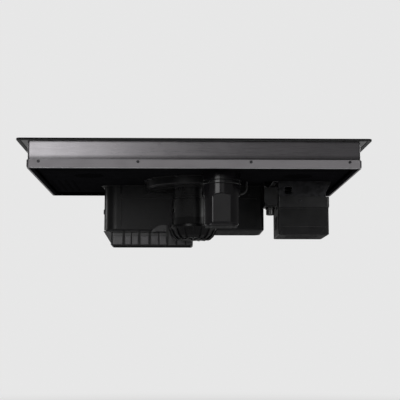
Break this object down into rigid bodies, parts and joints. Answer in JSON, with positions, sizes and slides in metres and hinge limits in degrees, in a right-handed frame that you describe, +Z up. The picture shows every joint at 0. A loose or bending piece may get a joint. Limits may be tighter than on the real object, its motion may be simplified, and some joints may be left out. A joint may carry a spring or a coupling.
{
  "type": "downdraft induction cooktop",
  "caption": "Induction cooktop with a central air intake, and a blower, overflow tank and control box hung under its shallow pan.",
  "frame": {"origin": "middle of the glass, at the level of the worktop's upper face, where the rim seal rests", "axes": "+X to the user's right, +Y from the user to the rear, +Z up"},
  "size_m": [0.83, 0.515, 0.221],
  "materials": {
    "glass_ceramic": "gloss",
    "seal_rubber": "matt",
    "polished_steel": "polished",
    "tray_steel": "satin",
    "dark_screw": "satin",
    "spring_steel": "satin",
    "black_metal": "satin",
    "housing_plastic": "satin",
    "grille_iron": "matt enamel",
    "filter_steel": "satin",
    "mesh_aluminium": "expanded mesh",
    "wheel_plastic": "satin",
    "foam": "open foam",
    "spigot_plastic": "satin",
    "flap_plastic": "satin",
    "gloss_black": "gloss",
    "cap_black": "satin",
    "core_steel": "laminated",
    "copper": "enamelled wire",
    "lead_rubber": "satin",
    "ring_plastic": "satin",
    "sheet_aluminium": "mill finish",
    "ferrite": "matt",
    "mica": "matt",
    "carrier_plastic": "satin",
    "board_green": "satin",
    "can_black": "satin",
    "bracket_steel": "zinc plated",
    "case_grey": "satin",
    "lid_grey": "satin",
    "terminal_white": "satin"
  },
  "bodies": {
    "chassis": {"glass_top": "glass_ceramic", "rim_seal": "seal_rubber", "support_frame": "polished_steel", "base_tray": "tray_steel", "tray_screws": "dark_screw", "side_clips": "spring_steel", "intake_collar": "black_metal", "intake_basin": "housing_plastic", "drain_spout": "housing_plastic", "volute_cover": "housing_plastic", "volute_wall": "housing_plastic", "blower_housing": "housing_plastic", "plenum_lining": "foam", "blower_screws": "dark_screw", "duct_spigot": "spigot_plastic", "flap_pin": "spring_steel", "motor_housing": "gloss_black", "motor_end_cap": "cap_black", "stator": "core_steel", "stator_windings": "copper", "motor_bearings": "spring_steel", "motor_lead": "lead_rubber", "overflow_neck": "gloss_black", "coil_plates": "sheet_aluminium", "ferrite_bars": "ferrite", "insulation_mats": "mica", "coil_windings": "copper", "coil_carriers": "carrier_plastic", "power_boards": "board_green", "heat_sinks": "sheet_aluminium", "board_parts": "can_black", "cooler_frame_left": "carrier_plastic", "cooler_frame_right": "carrier_plastic", "zone_sensors": "wheel_plastic", "plate_posts": "carrier_plastic", "plate_springs": "spring_steel", "touch_carrier": "carrier_plastic", "touch_board": "board_green", "control_bracket": "bracket_steel", "control_case": "case_grey", "control_lid": "lid_grey", "control_board": "board_green", "junction_box": "case_grey", "junction_cover": "lid_grey", "terminal_block": "terminal_white", "cable_gland": "ring_plastic", "box_screws": "dark_screw"},
    "grille": {"intake_grille": "grille_iron"},
    "filter": {"filter_cassette": "filter_steel", "filter_meshes": "mesh_aluminium"},
    "blower_rotor": {"impeller": "wheel_plastic", "wheel_nut": "spring_steel", "motor_rotor": "core_steel"},
    "flap_front": {"outlet_flap_front": "flap_plastic"},
    "flap_rear": {"outlet_flap_rear": "flap_plastic"},
    "lock_ring": {"lock_ring": "ring_plastic"},
    "tank": {"overflow_tank": "gloss_black", "tank_ring": "seal_rubber"},
    "cooler_left": {"cooler_rotor_left": "wheel_plastic"},
    "cooler_right": {"cooler_rotor_right": "wheel_plastic"}
  },
  "joints": [
    {"name": "blower_spin", "type": "hinge", "parent": "chassis", "child": "blower_rotor", "pos_m": [0, 0.02, -0.071], "axis": [0, 0, 1], "continuous": true},
    {"name": "cooler_spin_left", "type": "hinge", "parent": "chassis", "child": "cooler_left", "pos_m": [-0.2606, -0.073, -0.045], "axis": [0, 0, 1], "continuous": true},
    {"name": "cooler_spin_right", "type": "hinge", "parent": "chassis", "child": "cooler_right", "pos_m": [0.2606, -0.073, -0.045], "axis": [0, 0, 1], "continuous": true},
    {"name": "filter_lift", "type": "slide", "parent": "chassis", "child": "filter", "axis": [0, 0, 1], "range_m": [0, 0.08]},
    {"name": "grille_lift", "type": "slide", "parent": "filter", "child": "grille", "axis": [0, 0, 1], "range_m": [0, 0.05]},
    {"name": "lock_ring_turn", "type": "hinge", "parent": "chassis", "child": "lock_ring", "pos_m": [0.066, -0.13992, -0.085], "axis": [0, 0, 1], "range_deg": [0, 40]},
    {"name": "tank_drop", "type": "slide", "parent": "chassis", "child": "tank", "axis": [0, 0, -1], "range_m": [0, 0.09]},
    {"name": "flap_front_swing", "type": "hinge", "parent": "chassis", "child": "flap_front", "pos_m": [-0.108, 0.141, -0.1824], "axis": [1, 0, 0], "range_deg": [0, 75], "stiffness_Nm_per_rad": 0.01, "springref_deg": -34.38},
    {"name": "flap_rear_swing", "type": "hinge", "parent": "chassis", "child": "flap_rear", "pos_m": [-0.108, 0.141, -0.1824], "axis": [-1, 0, 0], "range_deg": [0, 75], "stiffness_Nm_per_rad": 0.01, "springref_deg": -34.38}
  ]
}
